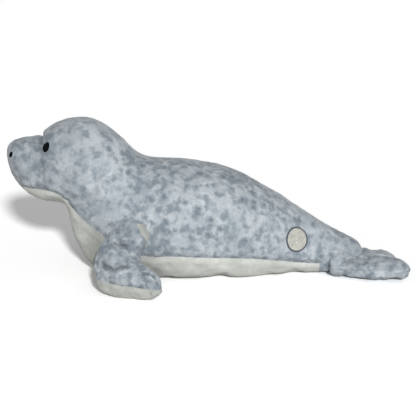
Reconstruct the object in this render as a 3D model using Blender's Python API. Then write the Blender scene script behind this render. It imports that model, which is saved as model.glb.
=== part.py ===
"""Stuffed plush seal lying on its belly with its head raised.

The nose points to -X, the seal's left side faces -Y, +Z is up and the seal rests on z = 0.
The origin is on the floor, under the middle of the seal's length.
Sizes are in millimetres and become metres when a mesh is made.
"""

import math

import bmesh
import bpy
import numpy as np
from mathutils import Vector
from mathutils.bvhtree import BVHTree

MM = 0.001

# Lengths along the seal, from the tip of the nose
SNOUT_LENGTH = 40.5
HEAD_LENGTH = 46.0
NECK_LENGTH = 84.0
BODY_LENGTH = 406.0
REAR_REACH = 50.0
SEAL_LENGTH = BODY_LENGTH + REAR_REACH

# Heights above the floor
NOSE_HEIGHT = 140.0
SNOUT_RISE = 16.0
SNOUT_TOP = NOSE_HEIGHT + SNOUT_RISE
CROWN_HEIGHT = 179.0
CHIN_HEIGHT = 84.6
BACK_HEIGHT = 129.5
RUMP_HEIGHT = 38.0
TAIL_END_HEIGHT = 20.5

# Height of the belly seam along the flank
FLANK_SEAM_HEIGHT = 33.0

# Half widths
SNOUT_HALF_WIDTH = 35.0
HEAD_HALF_WIDTH = 50.0
SHOULDER_HALF_WIDTH = 75.0
RUMP_HALF_WIDTH = 24.0

# Cover fabric
FABRIC_THICKNESS = 3.0
SEAM_GAP = 0.3
LINING_GAP = 0.8
PANEL_EDGE_GAP = 0.6
SEAM_VALLEY = 1.4

# Belly panel, from under the chin to the tail
PANEL_START = 18.0
PANEL_END = 357.0

# Front flippers
SHOULDER_AT = 146.0
SHOULDER_HEIGHT = 67.0
FRONT_REACH = 57.0
FRONT_LEAN = 17.0
FRONT_SWEEP = 13.0
FRONT_HALF_WIDTH = 39.5
FRONT_ARM_HALF_WIDTH = 18.0
FRONT_HALF_THICKNESS = 16.5
FRONT_TURN_DEG = 14.0

# Rear flippers
REAR_ROOT_BEFORE_RUMP = 46.0
REAR_HALF_WIDTH = 23.0
REAR_HALF_THICKNESS = 12.5
REAR_SPREAD = 23.5
REAR_SWAY = 11.5
REAR_RIGHT_SHORTER = 10.0
REAR_RIGHT_HALF_WIDTH = 18.4
REAR_RIGHT_HALF_THICKNESS = 10.0

# Embroidered eyes and nostrils
EYE_AT = 49.0
EYE_BELOW_CROWN = 29.0
EYE_HALF_WIDTH = 4.7
EYE_HALF_HEIGHT = 5.6
EYE_TILT_DEG = -12.0
NOSTRIL_AT = 8.7
NOSTRIL_BELOW_NOSE = 0.3
NOSTRIL_HALF_WIDTH = 2.7
NOSTRIL_HALF_HEIGHT = 3.3
NOSTRIL_TILT_DEG = -32.0
STITCH_RISE = 1.1
NOSTRIL_RISE = 0.9

# Round sewn-on patch on the left flank
PATCH_AT = 327.0
PATCH_HEIGHT = 47.5
PATCH_RADIUS = 12.4
PATCH_THICKNESS = 1.0
BORDER_WIDTH = 2.0
BORDER_RISE = 1.8

# Mesh fineness
BODY_RINGS = 58
SIDE_SEGMENTS = 15
BELLY_SEGMENTS = 7
FLIPPER_RINGS = 18
QUARTER_SEGMENTS = 5
RIM_SEGMENTS = 24
LOBE_SQUARENESS = 2.3
DRAPE_FROM = 30.0
PROBE_FROM = 400.0

# Colours, linear
MOTTLED_BLUE_GREY = (0.39, 0.46, 0.50, 1.0)
CREAM = (0.73, 0.76, 0.70, 1.0)
THREAD_BLACK = (0.006, 0.007, 0.008, 1.0)
PATCH_GREIGE = (0.45, 0.45, 0.41, 1.0)
BORDER_SLATE = (0.11, 0.13, 0.15, 1.0)


def clear_scene():
    for obj in list(bpy.data.objects):
        bpy.data.objects.remove(obj, do_unlink=True)


def fabric_material(name, colour, roughness=0.9):
    material = bpy.data.materials.new(name)
    material.use_nodes = True
    shader = material.node_tree.nodes["Principled BSDF"]
    shader.inputs["Base Color"].default_value = colour
    shader.inputs["Roughness"].default_value = roughness
    shader.inputs["Metallic"].default_value = 0.0
    return material


# Smooth lines through landmarks


def line_slopes(at, value):
    """Slopes of a curve that passes through the points and never overshoots them."""
    step = np.diff(at)
    rise = np.diff(value) / step
    slope = np.zeros(len(at))
    for i in range(1, len(at) - 1):
        if rise[i - 1] * rise[i] > 0:
            before = 2 * step[i] + step[i - 1]
            after = step[i] + 2 * step[i - 1]
            slope[i] = (before + after) / (before / rise[i - 1] + after / rise[i])
    slope[0], slope[-1] = rise[0], rise[-1]
    return slope


def along(line, where):
    """Value of a line, given as (distance, value) pairs, at each distance in where."""
    points = np.array(line, float)
    at, value = points[:, 0], points[:, 1]
    slope = line_slopes(at, value)
    where = np.clip(np.asarray(where, float), at[0], at[-1])
    i = np.clip(np.searchsorted(at, where) - 1, 0, len(at) - 2)
    step = at[i + 1] - at[i]
    u = (where - at[i]) / step
    start = (1 + 2 * u) * (1 - u) ** 2 * value[i] + u * (1 - u) ** 2 * step * slope[i]
    end = u * u * (3 - 2 * u) * value[i + 1] + u * u * (u - 1) * step * slope[i + 1]
    return start + end


def between(start, end, shares):
    """(position, value) pairs between two landmarks, from (share of the way, share of the change) pairs."""
    return [
        (start[0] + p * (end[0] - start[0]), start[1] + q * (end[1] - start[1]))
        for p, q in shares
    ]


# The body: snout, head, neck and torso in one stuffed cover


def body_lines():
    """The seal's top line, underside, half width, widest height and belly seam height."""
    stop = SNOUT_LENGTH
    crown = stop + HEAD_LENGTH
    nape = crown + NECK_LENGTH
    rump = BODY_LENGTH - 14.0
    throat = stop + 0.66 * HEAD_LENGTH
    breast = throat + 0.52 * NECK_LENGTH
    nose = (0.0, NOSE_HEIGHT)
    snout_rise = ((0.0, 0.0), (0.06, 0.48), (0.18, 0.72), (0.42, 0.91), (0.72, 1.0))
    snout_drop = ((0.0, 0.0), (0.06, 0.26), (0.17, 0.48), (0.4, 0.71), (0.68, 0.88))
    snout_flare = ((0.0, 0.0), (0.06, 0.31), (0.17, 0.54), (0.4, 0.77), (0.68, 0.92))
    quarter_round = ((0.04, 0.24), (0.12, 0.45), (0.24, 0.63), (0.4, 0.79), (0.62, 0.92))
    nape_fall = ((0.12, 0.03), (0.3, 0.16), (0.46, 0.39), (0.62, 0.7), (0.78, 0.9))
    back_fall = ((0.14, 0.02), (0.34, 0.1), (0.48, 0.25), (0.61, 0.41), (0.74, 0.62))
    top = (
        between(nose, (stop, SNOUT_TOP), snout_rise)
        + [(stop, SNOUT_TOP - 2.5)]
        + between((stop, SNOUT_TOP - 2.5), (crown, CROWN_HEIGHT), quarter_round)
        + [(crown, CROWN_HEIGHT)]
        + between((crown, CROWN_HEIGHT), (nape, BACK_HEIGHT), nape_fall)
        + [(nape, BACK_HEIGHT)]
        + between((nape, BACK_HEIGHT), (rump, RUMP_HEIGHT), back_fall)
        + between((nape, BACK_HEIGHT), (rump, RUMP_HEIGHT), ((0.87, 0.84), (1.0, 1.0)))
        + between((rump, RUMP_HEIGHT), (BODY_LENGTH, TAIL_END_HEIGHT), ((0.6, 0.35), (0.92, 0.72)))
        + [(BODY_LENGTH, TAIL_END_HEIGHT)]
    )
    underside = (
        between(nose, (stop, CHIN_HEIGHT), snout_drop)
        + [(stop, CHIN_HEIGHT + 0.6), (throat - 4.0, CHIN_HEIGHT - 1.0)]
        + between(
            (throat, CHIN_HEIGHT - 4.0),
            (breast, 0.0),
            ((0.0, 0.0), (0.05, 0.18), (0.12, 0.38), (0.22, 0.6), (0.38, 0.78), (0.62, 0.92)),
        )
        + [(breast, -2.0), (breast + 50.0, -4.0), (breast + 110.0, -2.5)]
        + [(rump - 60.0, -1.0), (rump - 10.0, 0.0), (rump, 3.0)]
        + between((rump, 3.0), (BODY_LENGTH, TAIL_END_HEIGHT), ((0.6, 0.35), (0.92, 0.72)))
        + [(BODY_LENGTH, TAIL_END_HEIGHT)]
    )
    face = (stop, SNOUT_HALF_WIDTH)
    cheek = (crown - 4.0, HEAD_HALF_WIDTH)
    shoulder = (nape + 32.0, SHOULDER_HALF_WIDTH)
    tail = (rump, RUMP_HALF_WIDTH)
    half_width = (
        between((0.0, 0.0), face, snout_flare)
        + [face]
        + between(face, cheek, ((0.04, 0.07), (0.12, 0.24), (0.25, 0.46), (0.42, 0.68)))
        + [cheek]
        + between(cheek, shoulder, ((0.17, 0.08), (0.36, 0.32), (0.55, 0.64), (0.75, 0.88)))
        + [shoulder]
        + between(shoulder, tail, ((0.2, 0.06), (0.38, 0.21), (0.56, 0.45), (0.73, 0.71)))
        + [tail]
        + between(tail, (BODY_LENGTH, 0.0), ((0.6, 0.3), (0.92, 0.66)))
        + [(BODY_LENGTH, 0.0)]
    )
    belt = [
        (0.0, NOSE_HEIGHT),
        (0.4 * stop, NOSE_HEIGHT - 14.0),
        (stop, NOSE_HEIGHT - 20.0),
        (crown, CHIN_HEIGHT + 38.0),
        (crown + 0.3 * NECK_LENGTH, 0.5 * CROWN_HEIGHT),
        (nape - 22.0, 0.43 * BACK_HEIGHT),
        (nape + 90.0, 0.4 * BACK_HEIGHT),
        (rump, 0.52 * RUMP_HEIGHT),
        (BODY_LENGTH, TAIL_END_HEIGHT),
    ]
    seam = [
        (0.0, NOSE_HEIGHT - 8.0),
        (0.3 * stop, CHIN_HEIGHT + 24.0),
        (0.55 * stop, CHIN_HEIGHT + 14.5),
        (stop, CHIN_HEIGHT + 17.0),
        (0.5 * (stop + throat), CHIN_HEIGHT + 14.0),
        (throat, CHIN_HEIGHT + 2.5),
        (throat + 7.0, CHIN_HEIGHT - 5.5),
        (breast - 12.0, CHIN_HEIGHT - 26.0),
        (breast + 14.0, FLANK_SEAM_HEIGHT + 9.0),
        (nape - 10.0, FLANK_SEAM_HEIGHT),
        (nape + 10.0, FLANK_SEAM_HEIGHT + 2.0),
        (nape + 110.0, FLANK_SEAM_HEIGHT - 5.0),
        (PANEL_END - 8.0, 0.4 * RUMP_HEIGHT),
        (rump, 0.32 * RUMP_HEIGHT),
        (BODY_LENGTH, TAIL_END_HEIGHT),
    ]
    return {
        "top": top,
        "underside": underside,
        "half_width": half_width,
        "belt": belt,
        "seam": seam,
    }


def ring_positions(lines, count, extra):
    """Places for the body's rings: closest where the outline changes fastest."""
    fine = np.linspace(0.0, BODY_LENGTH, 4000)
    fine[0], fine[-1] = 0.15, BODY_LENGTH - 0.15
    travel = 0.55 * np.diff(fine)
    for name, weight in (("top", 1.3), ("underside", 0.9), ("half_width", 1.3)):
        travel = np.hypot(travel, weight * np.diff(along(lines[name], fine)))
    reached = np.concatenate([[0.0], np.cumsum(travel)])
    even = np.interp(np.linspace(0.0, reached[-1], count), reached, fine)
    clear = [s for s in even if min(abs(s - e) for e in extra) > 1.5]
    return np.array(sorted(clear + list(extra)))


def half_section(top, underside, half_width, belt, seam):
    """One side of a cross-section as (y, z) pairs: top to belly seam, then seam to underside."""
    upper, lower = 2.15, 2.35
    steps = np.linspace(0.0, 0.5 * math.pi, 200)
    up_y = half_width * np.sin(steps) ** (2 / upper)
    up_z = belt + (top - belt) * np.cos(steps) ** (2 / upper)
    low_y = half_width * np.cos(steps) ** (2 / lower)
    low_z = belt - (belt - underside) * np.sin(steps) ** (2 / lower)
    y = np.concatenate([up_y, low_y[1:]])
    z = np.concatenate([up_z, low_z[1:]])
    length = np.concatenate([[0.0], np.cumsum(np.hypot(np.diff(y), np.diff(z)))])
    at_seam = np.interp(-seam, -z, length)
    at_seam = min(max(at_seam, 0.2 * length[-1]), 0.97 * length[-1])
    side = np.linspace(0.0, at_seam, SIDE_SEGMENTS + 1)
    belly = np.linspace(at_seam, length[-1], BELLY_SEGMENTS + 1)[1:]
    where = np.concatenate([side, belly])
    points_y = np.interp(where, length, y)
    points_z = np.maximum(np.interp(where, length, z), 0.0)
    points_y[0] = points_y[-1] = 0.0
    return points_y, points_z


def body_rings(lines, positions):
    """Closed rings of points, each from the top centre down the left side, under and up the right."""
    rings = []
    for s in positions:
        sizes = [float(along(lines[name], s)) for name in ("top", "underside", "half_width", "belt", "seam")]
        y, z = half_section(*sizes)
        left = np.column_stack([np.full(len(y), s), -y, z])
        right = left[-2:0:-1] * (1.0, -1.0, 1.0)
        rings.append(np.vstack([left, right]))
    return np.array(rings)


def outward(rings):
    """Unit normals of a grid of closed rings, pointing out of the form."""
    around = np.roll(rings, -1, axis=1) - np.roll(rings, 1, axis=1)
    forward = np.gradient(rings, axis=0)
    normals = np.cross(around, forward)
    normals /= np.maximum(np.linalg.norm(normals, axis=2, keepdims=True), 1e-9)
    centre = rings.mean(axis=1, keepdims=True)
    if ((rings - centre) * normals).sum() < 0:
        normals = -normals
    return normals


def to_world(points):
    """Seal lengths from the nose, in millimetres, to metres about the seal's middle."""
    return (np.asarray(points, float) - (0.5 * SEAL_LENGTH, 0.0, 0.0)) * MM


def new_object(name, bm, material=None):
    bmesh.ops.recalc_face_normals(bm, faces=bm.faces[:])
    mesh = bpy.data.meshes.new(name)
    bm.to_mesh(mesh)
    bm.free()
    obj = bpy.data.objects.new(name, mesh)
    bpy.context.scene.collection.objects.link(obj)
    if material:
        mesh.materials.append(material)
    mesh.shade_smooth()
    mesh.set_sharp_from_angle(angle=math.radians(50))
    return obj


def add_skin(bm, columns, tips):
    """Joins a list of vertex rings into a tube and closes its ends, with a tip vertex or a flat cap."""
    for ring, following in zip(columns, columns[1:]):
        for j in range(len(ring)):
            k = (j + 1) % len(ring)
            corners = []
            for vertex in (ring[j], ring[k], following[k], following[j]):
                if vertex not in corners:
                    corners.append(vertex)
            if len(corners) > 2:
                bm.faces.new(corners)
    for ring, tip in ((columns[0], tips[0]), (columns[-1], tips[1])):
        unique = list(dict.fromkeys(ring))
        if tip is None:
            bm.faces.new(unique)
            continue
        apex = bm.verts.new(to_world(tip))
        for j in range(len(unique)):
            bm.faces.new((unique[j], unique[(j + 1) % len(unique)], apex))


def split_alike(bm):
    """Splits faces by their shape alone, so that a panel and the place let in for it stay parallel."""
    bmesh.ops.triangulate(bm, faces=bm.faces[:], quad_method="SHORT_EDGE")


def plain_form(name, rings, tips, material=None, grow=0.0):
    """A closed form of the rings' outer surface, grown by a margin."""
    shell = rings + grow * outward(rings)
    bm = bmesh.new()
    columns = [[bm.verts.new(p) for p in to_world(ring)] for ring in shell]
    add_skin(bm, columns, tips)
    return new_object(name, bm, material)


def let_in(rings):
    """How deep a sewn-over panel is let in at each ring: less where a form thins out to its tip."""
    thickness = np.ptp(rings[:, :, 2], axis=1)
    return np.minimum(FABRIC_THICKNESS, 0.28 * thickness)[:, None, None]


def cover_form(name, rings, tips, seam, recessed, material):
    """A stuffed cover whose surface is let in, from seam to seam, where another panel is sewn over it."""
    first, last = seam
    inner = rings - (let_in(rings) + LINING_GAP) * outward(rings)
    bm = bmesh.new()
    columns = []
    for i, ring in enumerate(rings):
        outer = [bm.verts.new(p) for p in to_world(ring[: first + 1])]
        far = [bm.verts.new(p) for p in to_world(ring[last:])]
        if recessed[i]:
            middle = [bm.verts.new(p) for p in to_world(inner[i][first : last + 1])]
        else:
            between_seams = [bm.verts.new(p) for p in to_world(ring[first + 1 : last])]
            middle = [outer[-1], *between_seams, far[0]]
        columns.append(outer + middle + far)
    add_skin(bm, columns, tips)
    split_alike(bm)
    return new_object(name, bm, material)


def panel_form(name, rings, seam, recessed, material):
    """A sewn panel of even thickness that follows the rings' surface from seam to seam."""
    first, last = seam
    normals = outward(rings)[recessed][:, first : last + 1]
    outer = rings[recessed][:, first : last + 1]
    for edge, beside in ((0, 1), (-1, -2)):
        for rows in (outer, outer.swapaxes(0, 1)):
            inward = rows[:, beside] - rows[:, edge]
            inward /= np.linalg.norm(inward, axis=1, keepdims=True)
            rows[:, edge] += PANEL_EDGE_GAP * inward
    inner = outer - let_in(rings)[recessed] * normals
    loop = np.concatenate([outer, inner[:, ::-1]], axis=1)
    bm = bmesh.new()
    columns = [[bm.verts.new(p) for p in to_world(ring)] for ring in loop]
    add_skin(bm, columns, (None, None))
    split_alike(bm)
    return new_object(name, bm, material)


def press_seam(rings, columns, depth):
    """Draws the fabric in along a seam, with a softer valley beside it."""
    normals = outward(rings)
    shaped = rings.copy()
    for column in columns:
        for offset, share in ((-1, 0.35), (0, 1.0), (1, 0.35)):
            k = (column + offset) % rings.shape[1]
            shaped[:, k] -= depth * share * normals[:, k]
    shaped[:, :, 2] = np.maximum(shaped[:, :, 2], 0.0)
    return shaped


# Flippers: flat stuffed lobes, lofted from root to tip


def lobe_rings(stations, across, count):
    """Rings of a flattened lobe that rests on the floor. Each station is its distance from the root, the
    three coordinates of its centre, its half width and its half thickness; across is the width's direction.
    Points run from the top over the front edge to the underside and back over the rear edge."""
    table = np.array(stations, float)
    where = table[-1, 0] * np.sin(np.linspace(0.0, 0.5 * math.pi, count))
    centre, half_width, half_thickness = (
        np.column_stack([along(table[:, (0, i)], where) for i in columns]) for columns in ((1, 2, 3), (4,), (5,))
    )
    forward = np.gradient(centre, axis=0)
    forward /= np.linalg.norm(forward, axis=1, keepdims=True)
    lift = np.cross(forward, across)
    lift *= np.where(lift[:, 2:] < 0, -1.0, 1.0) / np.linalg.norm(lift, axis=1, keepdims=True)
    turn = np.linspace(0.0, 2 * math.pi, 4 * QUARTER_SEGMENTS, endpoint=False)
    sideways = -np.sign(np.sin(turn)) * np.abs(np.sin(turn)) ** (2 / LOBE_SQUARENESS)
    upward = np.sign(np.cos(turn)) * np.abs(np.cos(turn)) ** (2 / LOBE_SQUARENESS)
    wide = (half_width * sideways)[:, :, None] * np.array(across, float)
    thick = (half_thickness * upward)[:, :, None] * lift[:, None]
    rings = centre[:, None] + wide + thick
    rings[:, :, 2] = np.maximum(rings[:, :, 2], 0.0)
    return rings


def mirrored(points):
    return np.asarray(points, float) * (1.0, -1.0, 1.0)


def chained(rows):
    """Stations with the distance travelled from the first one put before each."""
    far = 0.0
    stations = []
    for i, row in enumerate(rows):
        if i:
            far += math.dist(rows[i - 1][:3], row[:3])
        stations.append((far, *row))
    return stations


def front_flipper_rows(side_y):
    """From inside the shoulder, forward and down the side, then out and back to a broad hand on the floor."""
    hand_height = FRONT_HALF_THICKNESS - 2.8
    drop = SHOULDER_HEIGHT - hand_height
    widening = FRONT_HALF_WIDTH - FRONT_ARM_HALF_WIDTH
    shares = (
        # reach, drop, lean, sweep, widening from arm to hand, thickness
        (-0.32, -0.1, 0.0, 0.0, -0.1, 0.7),
        (0.0, 0.02, 0.18, 0.0, 0.0, 0.8),
        (0.17, 0.24, 0.54, 0.0, 0.22, 0.88),
        (0.34, 0.52, 0.95, 0.0, 0.3, 0.94),
        (0.43, 0.66, 0.7, 0.0, 0.66, 0.97),
        (0.54, 0.82, 0.42, 0.05, 0.98, 1.0),
        (0.68, 0.95, 0.3, 0.1, 1.0, 0.98),
        (0.82, 0.99, 0.2, 0.16, 0.9, 0.9),
        (0.92, 1.0, 0.08, 0.3, 0.66, 0.74),
        (0.978, 1.0, 0.0, 0.62, 0.14, 0.46),
        (1.0, 1.0, 0.0, 0.95, -0.4, 0.16),
    )
    return [
        (
            SHOULDER_AT - FRONT_LEAN * lean + FRONT_SWEEP * sweep,
            -(side_y + FRONT_REACH * out),
            SHOULDER_HEIGHT - drop * down,
            FRONT_ARM_HALF_WIDTH + widening * wide,
            FRONT_HALF_THICKNESS * thick,
        )
        for out, down, lean, sweep, wide, thick in shares
    ]


def rear_flipper_rows(side, end, half_width, half_thickness):
    """From inside the tail, back along the floor to a broad rounded tip. Both lie a little to the left."""
    root = BODY_LENGTH - REAR_ROOT_BEFORE_RUMP
    length = end - root
    shares = (
        # length, spread, sway, lift, width, thickness
        (0.0, 0.5, 0.0, 0.1, 0.42, 0.95),
        (0.11, 0.86, 0.1, 0.26, 0.7, 1.28),
        (0.25, 0.92, 0.3, 0.1, 0.66, 1.06),
        (0.4, 0.96, 0.55, 0.0, 0.82, 0.95),
        (0.62, 1.0, 0.8, 0.0, 1.0, 1.0),
        (0.81, 1.02, 1.0, 0.0, 0.92, 0.94),
        (0.93, 1.06, 1.1, -0.1, 0.66, 0.7),
        (0.985, 1.08, 1.15, -0.16, 0.34, 0.4),
        (1.0, 1.08, 1.18, -0.18, 0.06, 0.1),
    )
    return [
        (
            root + far * length,
            side * REAR_SPREAD * out - REAR_SWAY * sway,
            half_thickness * (1.0 + lift) - 0.5,
            half_width * wide,
            half_thickness * thick,
        )
        for far, out, sway, lift, wide, thick in shares
    ]


def cut_away(obj, cutter):
    """Trims a piece to seat against the cutter's surface."""
    trim = obj.modifiers.new("seat", "BOOLEAN")
    trim.operation = "DIFFERENCE"
    trim.object = cutter


def hidden_guide(obj):
    obj.hide_render = True
    obj.display_type = "WIRE"
    return obj


# Pieces that lie on the cover


def cover_tree(cover):
    mesh = cover.data
    points = [v.co.copy() for v in mesh.vertices]
    faces = [list(p.vertices) for p in mesh.polygons]
    return BVHTree.FromPolygons(points, faces)


def surface_frame(tree, at, height, side):
    """Where the cover's side is met at a length and height, with the directions back, up and out there."""
    start = Vector(to_world((at, side * PROBE_FROM, height)))
    point, normal, _, _ = tree.ray_cast(start, Vector((0.0, -side, 0.0)))
    back = (Vector((1.0, 0.0, 0.0)) - normal * normal.x).normalized()
    up = normal.cross(back)
    return point, back, up if up.z > 0 else -up, normal


def drape(tree, frame, across, upward, rise):
    """The point of the cover under a place in a surface frame, raised off it by a margin, in metres."""
    point, back, up, out = frame
    start = point + (across * back + upward * up + DRAPE_FROM * out) * MM
    hit, _, _, _ = tree.ray_cast(start, -out)
    return hit + out * rise * MM


def loop_faces(bm, loops):
    """Faces between each loop of vertices and the next. A loop of one repeated vertex closes to a point."""
    for ring, following in zip(loops, loops[1:]):
        for j in range(len(ring)):
            k = (j + 1) % len(ring)
            corners = list(dict.fromkeys((ring[j], ring[k], following[k], following[j])))
            bm.faces.new(corners)


def draped_disc(name, tree, frame, profile, half_width, half_height, tilt_deg, material):
    """A closed disc or ring laid on the cover. The profile is (share of the radius, rise) pairs."""
    tilt = math.radians(tilt_deg)
    bm = bmesh.new()
    loops = []
    for share, rise in profile:
        loop = []
        for k in range(RIM_SEGMENTS):
            angle = 2 * math.pi * k / RIM_SEGMENTS
            u = share * half_width * math.cos(angle)
            v = share * half_height * math.sin(angle)
            across = u * math.cos(tilt) - v * math.sin(tilt)
            upward = u * math.sin(tilt) + v * math.cos(tilt)
            loop.append(bm.verts.new(drape(tree, frame, across, upward, rise)))
            if share == 0:
                loop *= RIM_SEGMENTS
                break
        loops.append(loop)
    if profile[0][0] > 0:
        loops.append(loops[0])
    loop_faces(bm, loops)
    return new_object(name, bm, material)


def stitched_oval(name, tree, frame, half_width, half_height, tilt_deg, rise, material):
    """A domed satin-stitch oval."""
    base = SEAM_GAP
    profile = (
        (0.0, base),
        (0.55, base),
        (0.96, base),
        (1.0, base + 0.45 * rise),
        (0.88, base + 0.8 * rise),
        (0.55, base + 0.97 * rise),
        (0.0, base + rise),
    )
    return draped_disc(name, tree, frame, profile, half_width, half_height, tilt_deg, material)


def build_body(mottled, cream):
    """The stuffed cover and the belly panel over it. It returns two guides: the cover as if it had no
    panel, and the same form grown by a gap, which trims what is sewn to it."""
    lines = body_lines()
    step = 0.05
    extra = (PANEL_START, PANEL_START + step, PANEL_END - step, PANEL_END)
    positions = ring_positions(lines, BODY_RINGS, extra)
    rings = body_rings(lines, positions)
    seams = (SIDE_SEGMENTS, rings.shape[1] - SIDE_SEGMENTS)
    rings = press_seam(rings, (0, *seams), SEAM_VALLEY)
    tips = ((0.0, 0.0, NOSE_HEIGHT), (BODY_LENGTH, 0.0, TAIL_END_HEIGHT))
    recessed = (positions > PANEL_START + 0.5 * step) & (positions < PANEL_END - 0.5 * step)
    cover_form("body", rings, tips, seams, recessed, mottled)
    panel_form("belly_panel", rings, seams, recessed, cream)
    smooth = hidden_guide(plain_form("smooth_cover", rings, tips))
    guide = hidden_guide(plain_form("seat_guide", rings, tips, grow=SEAM_GAP))
    return lines, smooth, guide


def build_front_flippers(lines, guide, mottled, cream):
    """Each front flipper is a stuffed mottled upper with a cream sole panel sewn round its lower half."""
    side_y = float(along(lines["half_width"], SHOULDER_AT)) - 4.0
    turn = math.radians(FRONT_TURN_DEG)
    across = (math.cos(turn), -math.sin(turn), 0.0)
    left = lobe_rings(chained(front_flipper_rows(side_y)), across, FLIPPER_RINGS)
    seams = (QUARTER_SEGMENTS, 3 * QUARTER_SEGMENTS)
    left = press_seam(left, seams, 0.5 * SEAM_VALLEY)
    for side, rings in (("left", left), ("right", mirrored(left))):
        recessed = np.ones(len(rings), bool)
        upper = cover_form(f"front_flipper_{side}", rings, (None, None), seams, recessed, mottled)
        sole = panel_form(f"front_flipper_sole_{side}", rings, seams, recessed, cream)
        cut_away(upper, guide)
        cut_away(sole, guide)


def build_rear_flippers(guide, mottled):
    left = (-1, SEAL_LENGTH, REAR_HALF_WIDTH, REAR_HALF_THICKNESS)
    right = (1, SEAL_LENGTH - REAR_RIGHT_SHORTER, REAR_RIGHT_HALF_WIDTH, REAR_RIGHT_HALF_THICKNESS)
    for side, place in (("left", left), ("right", right)):
        rings = lobe_rings(chained(rear_flipper_rows(*place)), (0.0, 1.0, 0.0), FLIPPER_RINGS)
        cut_away(plain_form(f"rear_flipper_{side}", rings, (None, None), mottled), guide)


def build_face(tree, thread):
    for side, sign in (("left", -1), ("right", 1)):
        eye = surface_frame(tree, EYE_AT, CROWN_HEIGHT - EYE_BELOW_CROWN, sign)
        stitched_oval(
            f"eye_{side}", tree, eye, EYE_HALF_WIDTH, EYE_HALF_HEIGHT, -EYE_TILT_DEG, STITCH_RISE, thread
        )
        nostril = surface_frame(tree, NOSTRIL_AT, NOSE_HEIGHT - NOSTRIL_BELOW_NOSE, sign)
        stitched_oval(
            f"nostril_{side}",
            tree,
            nostril,
            NOSTRIL_HALF_WIDTH,
            NOSTRIL_HALF_HEIGHT,
            -NOSTRIL_TILT_DEG,
            NOSTRIL_RISE,
            thread,
        )


def build_patch(tree, patch_cloth, border_thread):
    """A round cloth patch on the left flank, inside an overlocked border."""
    frame = surface_frame(tree, PATCH_AT, PATCH_HEIGHT, -1)
    base = SEAM_GAP
    face = base + PATCH_THICKNESS
    disc = ((0.0, base), (0.5, base), (1.0, base), (1.0, face), (0.5, face), (0.0, face))
    draped_disc("patch", tree, frame, disc, PATCH_RADIUS, PATCH_RADIUS, 0.0, patch_cloth)
    inner = PATCH_RADIUS + SEAM_GAP
    outer = inner + BORDER_WIDTH
    middle = 0.5 * (inner + outer)
    ring = (
        (inner / outer, base),
        (1.0, base),
        (1.0, base + 0.6 * BORDER_RISE),
        (middle / outer, base + BORDER_RISE),
        (inner / outer, base + 0.6 * BORDER_RISE),
    )
    draped_disc("patch_border", tree, frame, ring, outer, outer, 0.0, border_thread)


def main():
    clear_scene()
    mottled = fabric_material("mottled_plush", MOTTLED_BLUE_GREY)
    cream = fabric_material("cream_plush", CREAM)
    thread = fabric_material("black_thread", THREAD_BLACK, 0.55)
    patch_cloth = fabric_material("patch_cloth", PATCH_GREIGE)
    border_thread = fabric_material("border_thread", BORDER_SLATE, 0.7)
    lines, smooth, guide = build_body(mottled, cream)
    build_front_flippers(lines, guide, mottled, cream)
    build_rear_flippers(guide, mottled)
    tree = cover_tree(smooth)
    build_face(tree, thread)
    build_patch(tree, patch_cloth, border_thread)


main()
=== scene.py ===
import math
import bmesh
import bpy
import numpy as np
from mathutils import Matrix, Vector, noise
from mathutils.bvhtree import BVHTree

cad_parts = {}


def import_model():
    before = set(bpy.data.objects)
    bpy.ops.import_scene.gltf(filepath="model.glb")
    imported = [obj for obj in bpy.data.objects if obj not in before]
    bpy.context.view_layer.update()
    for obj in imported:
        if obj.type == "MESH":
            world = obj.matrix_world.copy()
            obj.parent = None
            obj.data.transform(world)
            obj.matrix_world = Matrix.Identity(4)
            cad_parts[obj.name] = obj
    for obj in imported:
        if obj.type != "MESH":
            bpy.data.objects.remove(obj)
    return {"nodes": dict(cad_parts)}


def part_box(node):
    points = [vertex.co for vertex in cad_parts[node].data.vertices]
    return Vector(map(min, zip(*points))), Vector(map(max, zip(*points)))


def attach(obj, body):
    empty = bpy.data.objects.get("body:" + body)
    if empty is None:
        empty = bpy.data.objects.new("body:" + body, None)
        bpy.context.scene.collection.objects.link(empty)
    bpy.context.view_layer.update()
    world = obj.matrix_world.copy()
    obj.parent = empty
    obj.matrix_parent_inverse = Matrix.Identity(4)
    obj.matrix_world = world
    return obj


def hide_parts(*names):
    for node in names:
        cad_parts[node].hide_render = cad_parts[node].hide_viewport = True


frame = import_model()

# Plush seal on a white sweep. Metres, nose to -X, the seal's left side to -Y, up is +Z.
# Every soft piece starts from its solid in the frame, is filled, and is then creased and sewn.
mm = 0.001
scene = bpy.context.scene
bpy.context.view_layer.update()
bpy.ops.object.select_all(action="DESELECT")
# rays at a form start this far from the origin, in metres, clear of every piece
rayStart = {"beside": 0.3, "above": 0.4, "rearFlipper": 0.2}


def activate(obj):
    bpy.ops.object.select_all(action="DESELECT")
    obj.select_set(True)
    bpy.context.view_layer.objects.active = obj


def pointsOf(obj):
    co = np.empty(len(obj.data.vertices) * 3)
    obj.data.vertices.foreach_get("co", co)
    return co.reshape(-1, 3)


def setPoints(obj, co):
    obj.data.vertices.foreach_set("co", co.ravel())
    obj.data.update()


def normalsOf(obj):
    normals = np.empty(len(obj.data.vertices) * 3)
    obj.data.vertices.foreach_get("normal", normals)
    return normals.reshape(-1, 3)


def treeOf(obj):
    corners = [v.co.copy() for v in obj.data.vertices]
    return BVHTree.FromPolygons(corners, [list(p.vertices) for p in obj.data.polygons])


def applyModifier(obj, name):
    activate(obj)
    bpy.ops.object.modifier_apply(modifier=name)


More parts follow.
